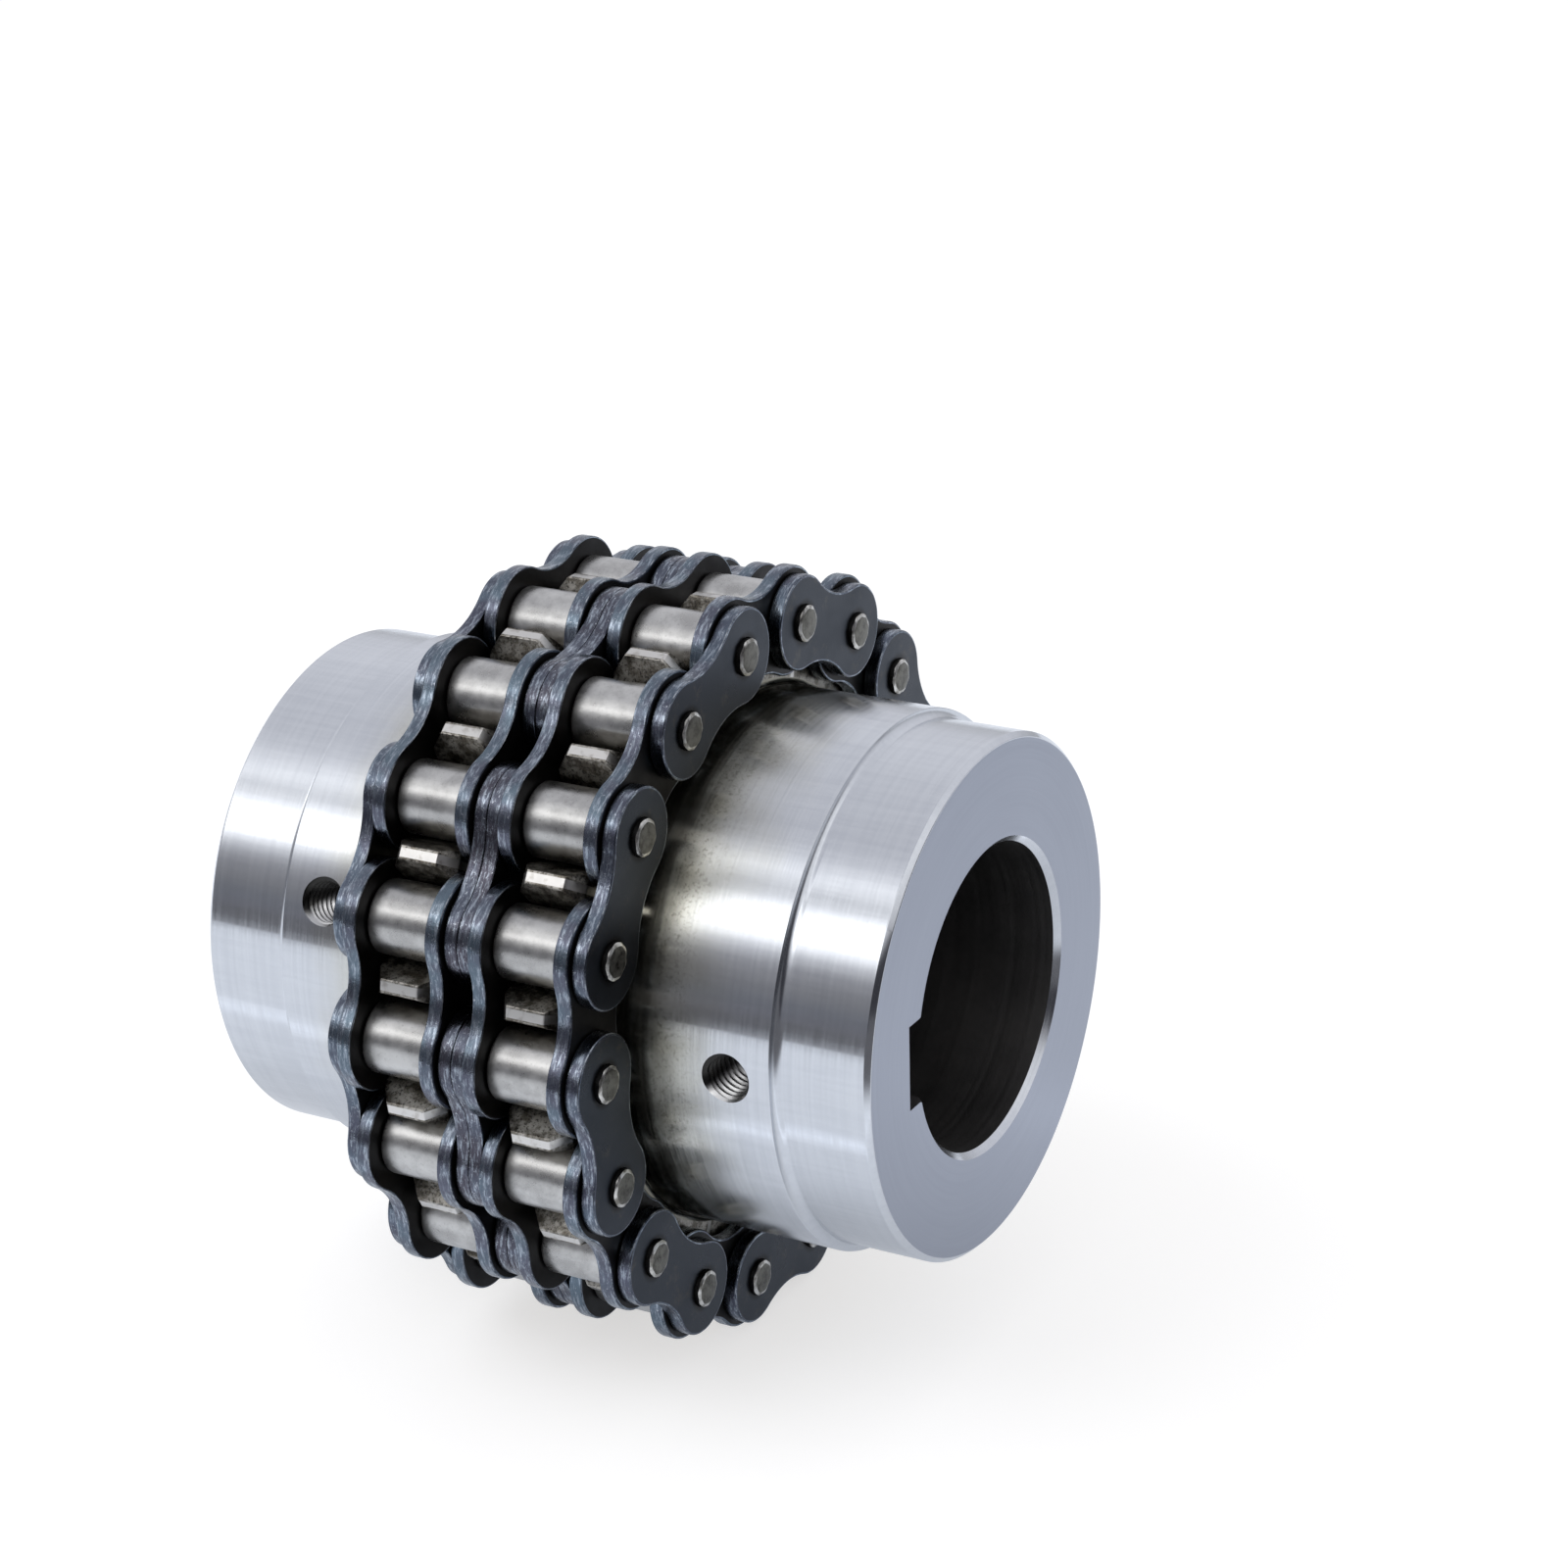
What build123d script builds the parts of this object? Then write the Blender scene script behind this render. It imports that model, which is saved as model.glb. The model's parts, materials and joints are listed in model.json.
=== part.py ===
from build123d import *
import math
import os

# Double-strand roller chain coupling: two sprocket hubs, one on each shaft end, joined by a
# duplex roller chain that wraps both rows of teeth. The shaft axis is X, the origin is the middle
# of the gap between the hubs, and angles run round X from +Y towards +Z. Lengths are millimetres.

# Chain sizes, those of a standard double-strand chain of 3/4 inch pitch
pitch = 19.05
links = 18
strand_spacing = 22.78
inner_width = 12.7
roller_diameter = 11.91
roller_end_chamfer = 0.4
pin_diameter = 5.96
bush_wall = 1.2
plate_thickness = 2.42
inner_plate_end_gap = 1.05
inner_plate_waist_depth = 2.3
outer_plate_height = 15.6
outer_plate_waist_depth = 2.1
rivet_projection = 0.6
pin_end_chamfer = 0.45

# Connecting link, the one that opens the chain: a loose cover plate held by a spring clip
clip_thickness = 1.2
clip_width = 9.4
clip_slot_width = 3.2
clip_groove_depth = 0.7
pin_tail = 0.9

# Clearances of the chain
press_gap = 0.02
pin_play = 0.04
roller_play = 0.07
roller_end_play = 0.12
plate_side_play = 0.12
middle_plate_gap = 0.05
clip_side_play = 0.05

# Sprocket teeth, one row on each hub
tooth_side_clearance = 0.7
tooth_bevel_width = 2.3
tooth_bevel_height = 3.2
tooth_tip_factor = 0.6
roller_seat_clearance = 0.45
seat_angle = 140
seat_angle_drop_factor = 90
flank_radius_factor = 0.008
flank_teeth_factor = 180

# Hubs
barrel_clearance = 1.85
end_step = 1.5
hub_length = 55.0
end_section_length = 14.5
end_chamfer = 0.8
tooth_root_fillet = 1.0
bore_diameter = 50.0
bore_chamfer = 1.0
keyway_width = 14.0
keyway_depth = 3.9
screw_hole_diameter = 6.8
screw_countersink_diameter = 8.2
screw_inset = 23.5

# Places round the axis, by pin number: the coupling lies on the two pins from the lowest one on,
# each hub's keyway lies a small lead past one pin, and the connecting link starts at one pin
lowest_pin_index = 11
right_key_pin_index = 7
left_key_pin_index = 6
right_key_lead_angle = 0.9
left_key_lead_angle = 1.7
connecting_pin_index = 15

# Derived sizes of the chain
pin_step = 360 / links
first_pin_angle = 270 - (lowest_pin_index + 0.5) * pin_step
pitch_radius = pitch / 2 / math.sin(math.pi / links)
link_radius = pitch_radius * math.cos(math.pi / links)
pair_count = links // 2
strand_offset = strand_spacing / 2
pin_radius = pin_diameter / 2
bush_bore_radius = pin_radius + pin_play
bush_radius = bush_bore_radius + bush_wall
roller_bore_radius = bush_radius + roller_play
roller_length = inner_width - 2 * roller_end_play
inner_plate_height = pitch - inner_plate_end_gap
inner_link_width = inner_width + 2 * plate_thickness
outer_plate_inner_face = strand_offset + inner_link_width / 2 + plate_side_play
outer_plate_outer_face = outer_plate_inner_face + plate_thickness
pin_half_length = outer_plate_outer_face + rivet_projection
clip_inner_face = outer_plate_outer_face + clip_side_play
clip_groove_radius = pin_radius - clip_groove_depth
connecting_pin_end = clip_inner_face + clip_thickness + clip_side_play + pin_tail

# Derived sizes of the hubs, whose tooth form follows the rules for roller chain sprockets
roller_seat_angle = seat_angle - seat_angle_drop_factor / links
tooth_flank_radius = flank_radius_factor * roller_diameter * (links**2 + flank_teeth_factor)
tip_radius = pitch / 2 * (tooth_tip_factor + 1 / math.tan(math.pi / links))
tooth_width = inner_width - 2 * tooth_side_clearance
inner_face = strand_offset - tooth_width / 2
tooth_back = inner_face + tooth_width
outer_face = inner_face + hub_length
barrel_radius = pitch_radius - inner_plate_height / 2 - barrel_clearance
end_radius = barrel_radius - end_step
step_foot = outer_face - end_section_length
step_top = step_foot - end_step
bore_radius = bore_diameter / 2
keyway_floor = bore_radius + keyway_depth


def pin_angle(index):
    """Angle of a pin round the axis."""
    return first_pin_angle + index * pin_step


def pin_centre(index):
    """Centre of a pin on the pitch circle, in the plane across the axis."""
    turn = math.radians(pin_angle(index))
    return (pitch_radius * math.cos(turn), pitch_radius * math.sin(turn))


def plate_outline(height, waist_depth, hole_radius):
    """Figure-eight link plate: two round ends joined by tangent waist arcs, with two holes."""
    reach = pitch / 2
    lobe = height / 2
    half_waist = lobe - waist_depth
    waist_radius = (reach**2 + half_waist**2 - lobe**2) / (2 * waist_depth)
    share = lobe / (lobe + waist_radius)
    side = share * (half_waist + waist_radius)
    rise = reach - share * reach
    with BuildSketch() as outline:
        with BuildLine():
            ThreePointArc((side, rise), (0, reach + lobe), (-side, rise))
            ThreePointArc((-side, rise), (-half_waist, 0), (-side, -rise))
            ThreePointArc((-side, -rise), (0, -reach - lobe), (side, -rise))
            ThreePointArc((side, -rise), (half_waist, 0), (side, rise))
        make_face()
        with Locations((0, reach), (0, -reach)):
            Circle(hole_radius, mode=Mode.SUBTRACT)
    return outline.sketch


def plate_ring(outline, low_face, first_link, count):
    """Every second link plate round the chain, starting with the link after pin first_link."""
    start = pin_angle(first_link) + pin_step / 2
    with BuildPart() as ring:
        with BuildSketch(Plane.YZ.offset(low_face)):
            for index in range(count):
                with PolarLocations(link_radius, 1, start_angle=start + index * 2 * pin_step):
                    add(outline)
        extrude(amount=plate_thickness)
    return ring.part


def bush_ring(strand_centre):
    """The bushes of one strand, pressed into its inner plates."""
    with BuildPart() as ring:
        with BuildSketch(Plane.YZ.offset(strand_centre - inner_link_width / 2)):
            with PolarLocations(pitch_radius, links, start_angle=first_pin_angle):
                Circle(bush_radius)
                Circle(bush_bore_radius, mode=Mode.SUBTRACT)
        extrude(amount=inner_link_width)
    return ring.part


def chain_roller(strand_centre, index):
    """One roller, free to turn on its bush."""
    with BuildPart() as roller:
        with BuildSketch(Plane.YZ.offset(strand_centre - roller_length / 2)):
            with Locations(pin_centre(index)):
                Circle(roller_diameter / 2)
                Circle(roller_bore_radius, mode=Mode.SUBTRACT)
        extrude(amount=roller_length)
        outer_edges = roller.edges().filter_by(GeomType.CIRCLE).sort_by(SortBy.RADIUS)[-2:]
        chamfer(outer_edges, length=roller_end_chamfer)
    return roller.part


def pin_set(indices, far_end):
    """Pins through both strands, from the riveted heads on the left to far_end."""
    with BuildPart() as pins:
        with BuildSketch(Plane.YZ.offset(-pin_half_length)):
            with Locations(*[pin_centre(index) for index in indices]):
                Circle(pin_radius)
        extrude(amount=pin_half_length + far_end)
        chamfer(pins.edges().filter_by(GeomType.CIRCLE), length=pin_end_chamfer)
        if far_end > pin_half_length:
            with BuildSketch(Plane.YZ.offset(clip_inner_face - clip_side_play)):
                with Locations(*[pin_centre(index) for index in indices]):
                    Circle(pin_radius + clip_side_play)
                    Circle(clip_groove_radius, mode=Mode.SUBTRACT)
            extrude(amount=clip_thickness + 2 * clip_side_play, mode=Mode.SUBTRACT)
    return pins.part


def tooth_gap():
    """Space between two teeth: a round roller seat and two convex flanks, open outwards."""
    half_angle = math.radians(roller_seat_angle / 2)
    seat_radius = roller_diameter / 2 + roller_seat_clearance
    seat_side = seat_radius * math.sin(half_angle)
    seat_edge = pitch_radius - seat_radius * math.cos(half_angle)
    flank_centre = pitch_radius - (seat_radius + tooth_flank_radius) * math.cos(half_angle)
    flank_side = (seat_radius + tooth_flank_radius) * math.sin(half_angle)
    mouth = tip_radius + tooth_bevel_width / 2

    def flank_at(radius):
        return flank_side - math.sqrt(tooth_flank_radius**2 - (radius - flank_centre) ** 2)

    middle = (seat_edge + mouth) / 2
    with BuildSketch() as gap:
        with BuildLine():
            ThreePointArc((seat_edge, -seat_side), (pitch_radius - seat_radius, 0), (seat_edge, seat_side))
            ThreePointArc((seat_edge, seat_side), (middle, flank_at(middle)), (mouth, flank_at(mouth)))
            Line((mouth, flank_at(mouth)), (mouth, -flank_at(mouth)))
            ThreePointArc((mouth, -flank_at(mouth)), (middle, -flank_at(middle)), (seat_edge, -seat_side))
        make_face()
    return gap.sketch


def sprocket_hub(side, key_angle):
    """One hub: bored barrel with a stepped outside, keyway, set screw hole and a row of teeth."""
    with BuildPart() as hub:
        with BuildSketch(Plane.XY):
            with BuildLine():
                Polyline(
                    (side * (tooth_back + tooth_root_fillet), barrel_radius),
                    (side * step_top, barrel_radius),
                    (side * step_foot, end_radius),
                    (side * (outer_face - end_chamfer), end_radius),
                    (side * outer_face, end_radius - end_chamfer),
                    (side * outer_face, bore_radius + bore_chamfer),
                    (side * (outer_face - bore_chamfer), bore_radius),
                    (side * (inner_face + bore_chamfer), bore_radius),
                    (side * inner_face, bore_radius + bore_chamfer),
                    (side * inner_face, tip_radius - tooth_bevel_height),
                    (side * (inner_face + tooth_bevel_width), tip_radius),
                    (side * (tooth_back - tooth_bevel_width), tip_radius),
                    (side * tooth_back, tip_radius - tooth_bevel_height),
                    (side * tooth_back, barrel_radius + tooth_root_fillet),
                )
                RadiusArc(
                    (side * tooth_back, barrel_radius + tooth_root_fillet),
                    (side * (tooth_back + tooth_root_fillet), barrel_radius),
                    -side * tooth_root_fillet,
                )
            make_face()
        revolve(axis=Axis.X)
        with BuildSketch(Plane.YZ.offset(side * inner_face)):
            with PolarLocations(0, links, start_angle=first_pin_angle):
                add(tooth_gap())
        extrude(amount=side * tooth_width, mode=Mode.SUBTRACT)
        with BuildSketch(Plane.YZ.offset(side * inner_face)):
            with PolarLocations(keyway_floor / 2, 1, start_angle=key_angle):
                Rectangle(keyway_floor, keyway_width)
        extrude(amount=side * hub_length, mode=Mode.SUBTRACT)
        turn = math.radians(key_angle)
        outward = Vector(0, math.cos(turn), math.sin(turn))
        mouth = Vector(side * (outer_face - screw_inset), 0, 0) + outward * barrel_radius
        with Locations(Plane(origin=mouth, z_dir=outward)):
            CounterSinkHole(
                radius=screw_hole_diameter / 2,
                counter_sink_radius=screw_countersink_diameter / 2,
                depth=barrel_radius - bore_radius / 2,
                counter_sink_angle=90,
            )
    return hub.part


def spring_clip_shape():
    """Fork that snaps into the grooves of the two connecting pins, closed at one end."""
    start = pin_angle(connecting_pin_index) + pin_step / 2
    with BuildPart() as clip:
        with BuildSketch(Plane.YZ.offset(clip_inner_face)):
            with PolarLocations(link_radius, 1, start_angle=start):
                SlotCenterToCenter(pitch, clip_width, rotation=90)
            with PolarLocations(link_radius, 1, start_angle=start):
                with Locations((0, pitch / 2), (0, -pitch / 2)):
                    Circle(clip_groove_radius + press_gap, mode=Mode.SUBTRACT)
                with Locations((0, clip_width / 2)):
                    Rectangle(clip_slot_width, pitch + clip_width, mode=Mode.SUBTRACT)
        extrude(amount=clip_thickness)
    return clip.part


os.makedirs("parts", exist_ok=True)


def save(part, name):
    """Label a finished piece and write it."""
    part.label = name
    export_step(part, f"parts/{name}.step")


inner_outline = plate_outline(inner_plate_height, inner_plate_waist_depth, bush_radius + press_gap)
pressed_outline = plate_outline(outer_plate_height, outer_plate_waist_depth, pin_radius + press_gap)
loose_outline = plate_outline(outer_plate_height, outer_plate_waist_depth, pin_radius + pin_play)
inner_link_pin = connecting_pin_index + 1
middle_face = middle_plate_gap / 2

for side_name, side in (("right", 1), ("left", -1)):
    strand_centre = side * strand_offset
    outboard_low = strand_centre + side * (inner_width + plate_thickness) / 2 - plate_thickness / 2
    inboard_low = strand_centre - side * (inner_width + plate_thickness) / 2 - plate_thickness / 2
    middle_low = side * (middle_face + plate_thickness / 2) - plate_thickness / 2
    outboard = plate_ring(inner_outline, outboard_low, inner_link_pin, pair_count)
    inboard = plate_ring(inner_outline, inboard_low, inner_link_pin, pair_count)
    middle = plate_ring(loose_outline, middle_low, connecting_pin_index, pair_count)
    save(outboard, f"inner_plates_{side_name}_outboard")
    save(inboard, f"inner_plates_{side_name}_inboard")
    save(middle, f"middle_plates_{side_name}")
    save(bush_ring(strand_centre), f"bushes_{side_name}")
    for index in range(links):
        save(chain_roller(strand_centre, index), f"roller_{side_name}_{index + 1:02d}")

riveted_link_pin = connecting_pin_index + 2
riveted_count = pair_count - 1
right_low = outer_plate_inner_face
left_low = -outer_plate_outer_face
save(plate_ring(pressed_outline, right_low, riveted_link_pin, riveted_count), "outer_plates_right")
save(plate_ring(pressed_outline, left_low, riveted_link_pin, riveted_count), "outer_plates_left")
save(plate_ring(pressed_outline, left_low, connecting_pin_index, 1), "connecting_link_plate")
save(plate_ring(loose_outline, right_low, connecting_pin_index, 1), "connecting_cover_plate")
connecting_pair = (connecting_pin_index, connecting_pin_index + 1)
riveted = [index for index in range(links) if index not in connecting_pair]
save(pin_set(riveted, pin_half_length), "riveted_pins")
save(pin_set(connecting_pair, connecting_pin_end), "connecting_pins")
save(spring_clip_shape(), "spring_clip")
save(sprocket_hub(1, pin_angle(right_key_pin_index) + right_key_lead_angle), "right_hub")
save(sprocket_hub(-1, pin_angle(left_key_pin_index) + left_key_lead_angle), "left_hub")
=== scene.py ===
import json
from math import acos, asin, atan2, copysign, cos, dist, hypot, pi, radians, remainder, sin, sqrt, tan

import bmesh
import bpy
from mathutils import Matrix, Vector


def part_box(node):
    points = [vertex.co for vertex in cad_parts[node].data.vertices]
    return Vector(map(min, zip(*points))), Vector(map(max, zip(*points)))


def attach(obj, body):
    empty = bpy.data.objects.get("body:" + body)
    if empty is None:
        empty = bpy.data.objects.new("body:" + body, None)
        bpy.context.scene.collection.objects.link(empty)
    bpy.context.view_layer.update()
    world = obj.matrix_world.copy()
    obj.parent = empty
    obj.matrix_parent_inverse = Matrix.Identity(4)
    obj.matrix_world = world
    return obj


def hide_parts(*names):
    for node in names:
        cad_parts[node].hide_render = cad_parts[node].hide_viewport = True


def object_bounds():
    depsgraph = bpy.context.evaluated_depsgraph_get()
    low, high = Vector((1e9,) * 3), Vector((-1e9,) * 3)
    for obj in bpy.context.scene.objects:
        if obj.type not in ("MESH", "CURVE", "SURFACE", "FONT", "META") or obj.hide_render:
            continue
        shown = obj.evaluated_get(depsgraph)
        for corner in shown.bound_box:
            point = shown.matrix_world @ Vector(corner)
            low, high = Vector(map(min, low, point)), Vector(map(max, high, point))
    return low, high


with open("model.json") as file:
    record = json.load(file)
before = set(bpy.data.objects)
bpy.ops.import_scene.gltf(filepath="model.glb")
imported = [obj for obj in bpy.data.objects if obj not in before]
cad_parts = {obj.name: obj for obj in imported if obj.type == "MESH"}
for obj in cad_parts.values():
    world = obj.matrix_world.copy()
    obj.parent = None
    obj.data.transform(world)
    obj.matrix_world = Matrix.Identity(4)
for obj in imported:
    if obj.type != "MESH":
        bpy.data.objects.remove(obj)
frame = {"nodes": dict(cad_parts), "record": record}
solid_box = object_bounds()

# A double-strand roller chain coupling. The shaft axis is X and angles run round it from +Y to +Z.
# Lengths are millimetres and are the solids' own; every mesh is turned into metres when it is made.
MM = 0.001

# Chain
PITCH = 19.05
LINKS = 18
FIRST_PIN_ANGLE = radians(40)
PIN_STEP = 2 * pi / LINKS
PITCH_RADIUS = PITCH / 2 / sin(pi / LINKS)
LINK_RADIUS = PITCH_RADIUS * cos(pi / LINKS)
PIN_RADIUS = 2.98
BUSH_RADIUS = 4.22
ROLLER_RADIUS = 5.955
ROLLER_BORE_RADIUS = 4.29
INNER_PLATE = {"height": 18.0, "waist_depth": 2.3, "hole": BUSH_RADIUS + 0.02}
OUTER_PLATE = {"height": 15.6, "waist_depth": 2.1, "hole": PIN_RADIUS + 0.02}
LOOSE_PLATE = {**OUTER_PLATE, "hole": PIN_RADIUS + 0.04}
CONNECTING_PIN = 15

# Spring clip of the connecting link
CLIP_WIDTH = 9.4
CLIP_SLOT = 3.2
CLIP_GROOVE_RADIUS = PIN_RADIUS - 0.7
CLIP_BITE_RADIUS = CLIP_GROOVE_RADIUS + 0.02
CLIP_SIDE_PLAY = 0.05
CLIP_BEVEL = 0.15
CLIP_BORDER_ANGLE = radians(60)

# Hubs, with x counted from the inner face
TOOTH_WIDTH = 11.3
TOOTH_BEVEL_WIDTH = 2.3
TOOTH_BEVEL_HEIGHT = 3.2
TIP_RADIUS = PITCH / 2 * (0.6 + 1 / tan(pi / LINKS))
SEAT_RADIUS = ROLLER_RADIUS + 0.45
SEAT_HALF_ANGLE = radians(140 - 90 / LINKS) / 2
FLANK_RADIUS = 0.008 * 2 * ROLLER_RADIUS * (LINKS**2 + 180)
ROOT_FILLET = 1.0
BARREL_RADIUS = PITCH_RADIUS - INNER_PLATE["height"] / 2 - 1.85
HUB_LENGTH = 55.0
END_STEP = 1.5
STEP_HOLLOW = (0.22, 1.32)
END_LENGTH = 14.5
END_CHAMFER = 0.8
BORE_RADIUS = 25.0
BORE_CHAMFER = 1.0
KEYWAY_HALF_WIDTH = 7.0
KEYWAY_FLOOR = 28.9
RIGHT_KEY_PIN = 7
RIGHT_KEY_LEAD = radians(0.9)
LEFT_KEY_PIN = 6
LEFT_KEY_LEAD = radians(1.7)

# Set screw thread, from inside the bore to outside the barrel; its wave is (share of a turn, radius)
THREAD_PITCH = 1.25
THREAD_MINOR = 3.4
THREAD_MAJOR = 4.05
THREAD_START = 20.0
THREAD_END = 47.0
THREAD_START_TIP = THREAD_START - 2
THREAD_END_TIP = THREAD_END + 3
THREAD_WAVE = ((0.0, THREAD_MINOR), (0.25, THREAD_MINOR), (0.5625, THREAD_MAJOR), (0.6875, THREAD_MAJOR))
COUNTERSINK_RADIUS = 4.1

# Rounding of edges: how far each reaches back from its corner
EDGE_STEPS = 3
TURNED_EDGE = 0.12
TOOTH_EDGE = 0.18
PLATE_EDGE_SMOOTH = 0.42
PLATE_EDGE_SHARP = 0.3
PLATE_HOLE_EDGE = 0.12
PLATE_FACE_REACH = 4.0
ROLLER_EDGE = 0.55
ROLLER_BORE_EDGE = 0.2
SHARP_ANGLE = radians(32)
TINY = 1e-6
WELD = 1e-7

# Points round a pin, a roller and a thread, and steps along the curves
PIN_SEGMENTS = 48
ROLLER_SEGMENTS = 64
THREAD_SEGMENTS = 40
WAIST_STEPS = 9
LOBE_STEPS = 40
CUT_LINE_STEPS = 10
SEAT_STEPS = 9
FLANK_STEPS = 6
FILLET_STEPS = 4
HOLLOW_STEPS = 9

# Riveted ends of the pins; they stand further out than on the solids by the rise
PIN_EDGE = 0.36
PIN_FLAT_RIPPLE = 0.17
PIN_SHOULDER_RIPPLE = 0.2
PIN_DOME = 0.12
PIN_DOME_SHARES = (0.3, 0.6, 0.85)
PIN_CORNER = 0.14
PIN_CORNER_ROUNDING = 0.2
PIN_RIM_RADIUS = PIN_RADIUS - 0.02
PIN_SIDE_START = 1.6
PIN_LUMPS = 7
RIVET_RISE = 0.42

# Numbers of the finishes of a hub's, a plate's and a pin's faces
HUB_TURNED, HUB_FACED, HUB_BORED, HUB_TOOTH, HUB_THREAD, HUB_LAND = range(6)
PLATE_FRONT, PLATE_RIM, PLATE_BACK, PLATE_EDGE = range(4)
PIN_FLAT, PIN_RUBBED, PIN_BARREL = range(3)

# Shading of the barrels beside the chain, in metres from the middle, with the slope that it starts from
FLARE = (0.024, 0.038, 0.13, 0.0)

# Painted shade with some oily dirt on the plates round the pins, as widths beside a pin
PIN_SHADE_START = 0.2
PIN_SHADE_END = 1.3

# The side of a screw hole that is painted dark as shade
SHADED_SIDE = (-0.35, 0.0, 0.94)

# Camera of the photograph, worked out from the pin ends and rims that it shows
CAMERA_AZIMUTH = radians(29.0797)
CAMERA_ELEVATION = radians(20.2626)
CAMERA_ROLL = radians(-1.0145)
CAMERA_DISTANCE = 596.568
CAMERA_RIGHT = 20.3715
CAMERA_UP = 24.4622
CAMERA_LENS = 82.82
CAMERA_CLIP = (0.01, 50.0)
SENSOR_WIDTH = 36.0


def around(radius, turn, centre=(0.0, 0.0)):
    """Point of a circle in the plane across the axis."""
    return (centre[0] + radius * cos(turn), centre[1] + radius * sin(turn))


def pin_angle(index):
    """Angle of a pin round the axis."""
    return FIRST_PIN_ANGLE + index * PIN_STEP


def between(start, end, steps):
    """Evenly spaced values from start to end."""
    return [start + (end - start) * step / steps for step in range(steps + 1)]


def curve(start, bend, end, steps):
    """Points of a curve from start to end that is pulled towards a bend."""
    points = []
    for t in between(0.0, 1.0, steps):
        near, mid, far = (1 - t) ** 2, 2 * t * (1 - t), t**2
        points.append(tuple(near * a + mid * b + far * c for a, b, c in zip(start, bend, end)))
    return points


def extended(points, value):
    """Points with one more value behind each, such as a place along the shaft or a finish."""
    return [(*point, value) for point in points]


def round_corner(before, corner, after, setback, steps=EDGE_STEPS):
    """Points of the small curve that stands in for a corner, kept within its two sides."""
    ends = []
    for side in (before, after):
        length = dist(corner, side)
        share = min(setback / length, 0.48) if length > TINY else 0.0
        ends.append([c + (s - c) * share for c, s in zip(corner, side)])
    return curve(ends[0], corner, ends[1], steps)


class Form:
    """Points and faces of one piece in millimetres, with the finish of each face."""

    def __init__(self):
        self.points = []
        self.faces = []
        self.finishes = []

    def skin(self, rows, finish, closed=True):
        """Cover the space between neighbouring rows of points; finish is a number or a function."""
        width = len(rows[0])
        start = len(self.points)
        for row in rows:
            self.points.extend(row)
        for line in range(len(rows) - 1):
            for step in range(width if closed else width - 1):
                near = start + line * width + step
                far = start + line * width + (step + 1) % width
                self.faces.append((near, far, far + width, near + width))
                self.finishes.append(finish(line, step) if callable(finish) else finish)

    def cap(self, row, centre, finish):
        """Close a row of points with a fan round its centre."""
        start = len(self.points)
        self.points.extend(row)
        self.points.append(centre)
        width = len(row)
        for step in range(width):
            self.faces.append((start + step, start + (step + 1) % width, start + width))
            self.finishes.append(finish)

    def fill(self, row, finish):
        """Close a row of points with one face."""
        start = len(self.points)
        self.points.extend(row)
        self.faces.append(tuple(range(start, start + len(row))))
        self.finishes.append(finish)

    def revolve(self, profile, centre, finish, segments):
        """Turn a closed profile of (x, radius) points round a line along X through centre."""
        turns = [2 * pi * step / segments for step in range(segments)]
        rows = [[(x, *around(radius, turn, centre)) for turn in turns] for x, radius in profile]
        self.skin([*rows, rows[0]], finish)


def node_ends(node):
    """Left and right end of a node along the shaft."""
    low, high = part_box(node)
    return low.x / MM, high.x / MM


def make_mesh(name, form, finishes):
    """A welded mesh in metres, with faces turned outwards."""
    mesh = bpy.data.meshes.new(name)
    mesh.from_pydata([[c * MM for c in point] for point in form.points], [], form.faces)
    mesh.polygons.foreach_set("material_index", form.finishes)
    for finish in finishes:
        mesh.materials.append(finish)
    shell = bmesh.new()
    shell.from_mesh(mesh)
    bmesh.ops.remove_doubles(shell, verts=shell.verts, dist=WELD)
    bmesh.ops.dissolve_degenerate(shell, edges=shell.edges, dist=WELD)
    bmesh.ops.recalc_face_normals(shell, faces=shell.faces)
    shell.to_mesh(mesh)
    shell.free()
    return mesh


def add_object(name, data):
    """A new object in the scene."""
    thing = bpy.data.objects.new(name, data)
    bpy.context.scene.collection.objects.link(thing)
    return thing


def shade(mesh):
    """Smooth shading that keeps real edges."""
    mesh.shade_smooth()
    mesh.set_sharp_from_angle(angle=SHARP_ANGLE)


def smooth(piece):
    """Smooth shading that keeps real edges and lets flat faces stay flat."""
    shade(piece.data)
    weighted = piece.modifiers.new("flat faces stay flat", "WEIGHTED_NORMAL")
    weighted.keep_sharp = True
    weighted.weight = 100


def dress(piece, body, node):
    """Let a shaded piece stand for a solid and move with its body."""
    smooth(piece)
    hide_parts(node)
    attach(piece, body)


def make_piece(form, finishes, body, node):
    """A finished piece in place of a node."""
    name = f"{node}_dressed"
    piece = add_object(name, make_mesh(name, form, finishes))
    dress(piece, body, node)
    return piece


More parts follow.
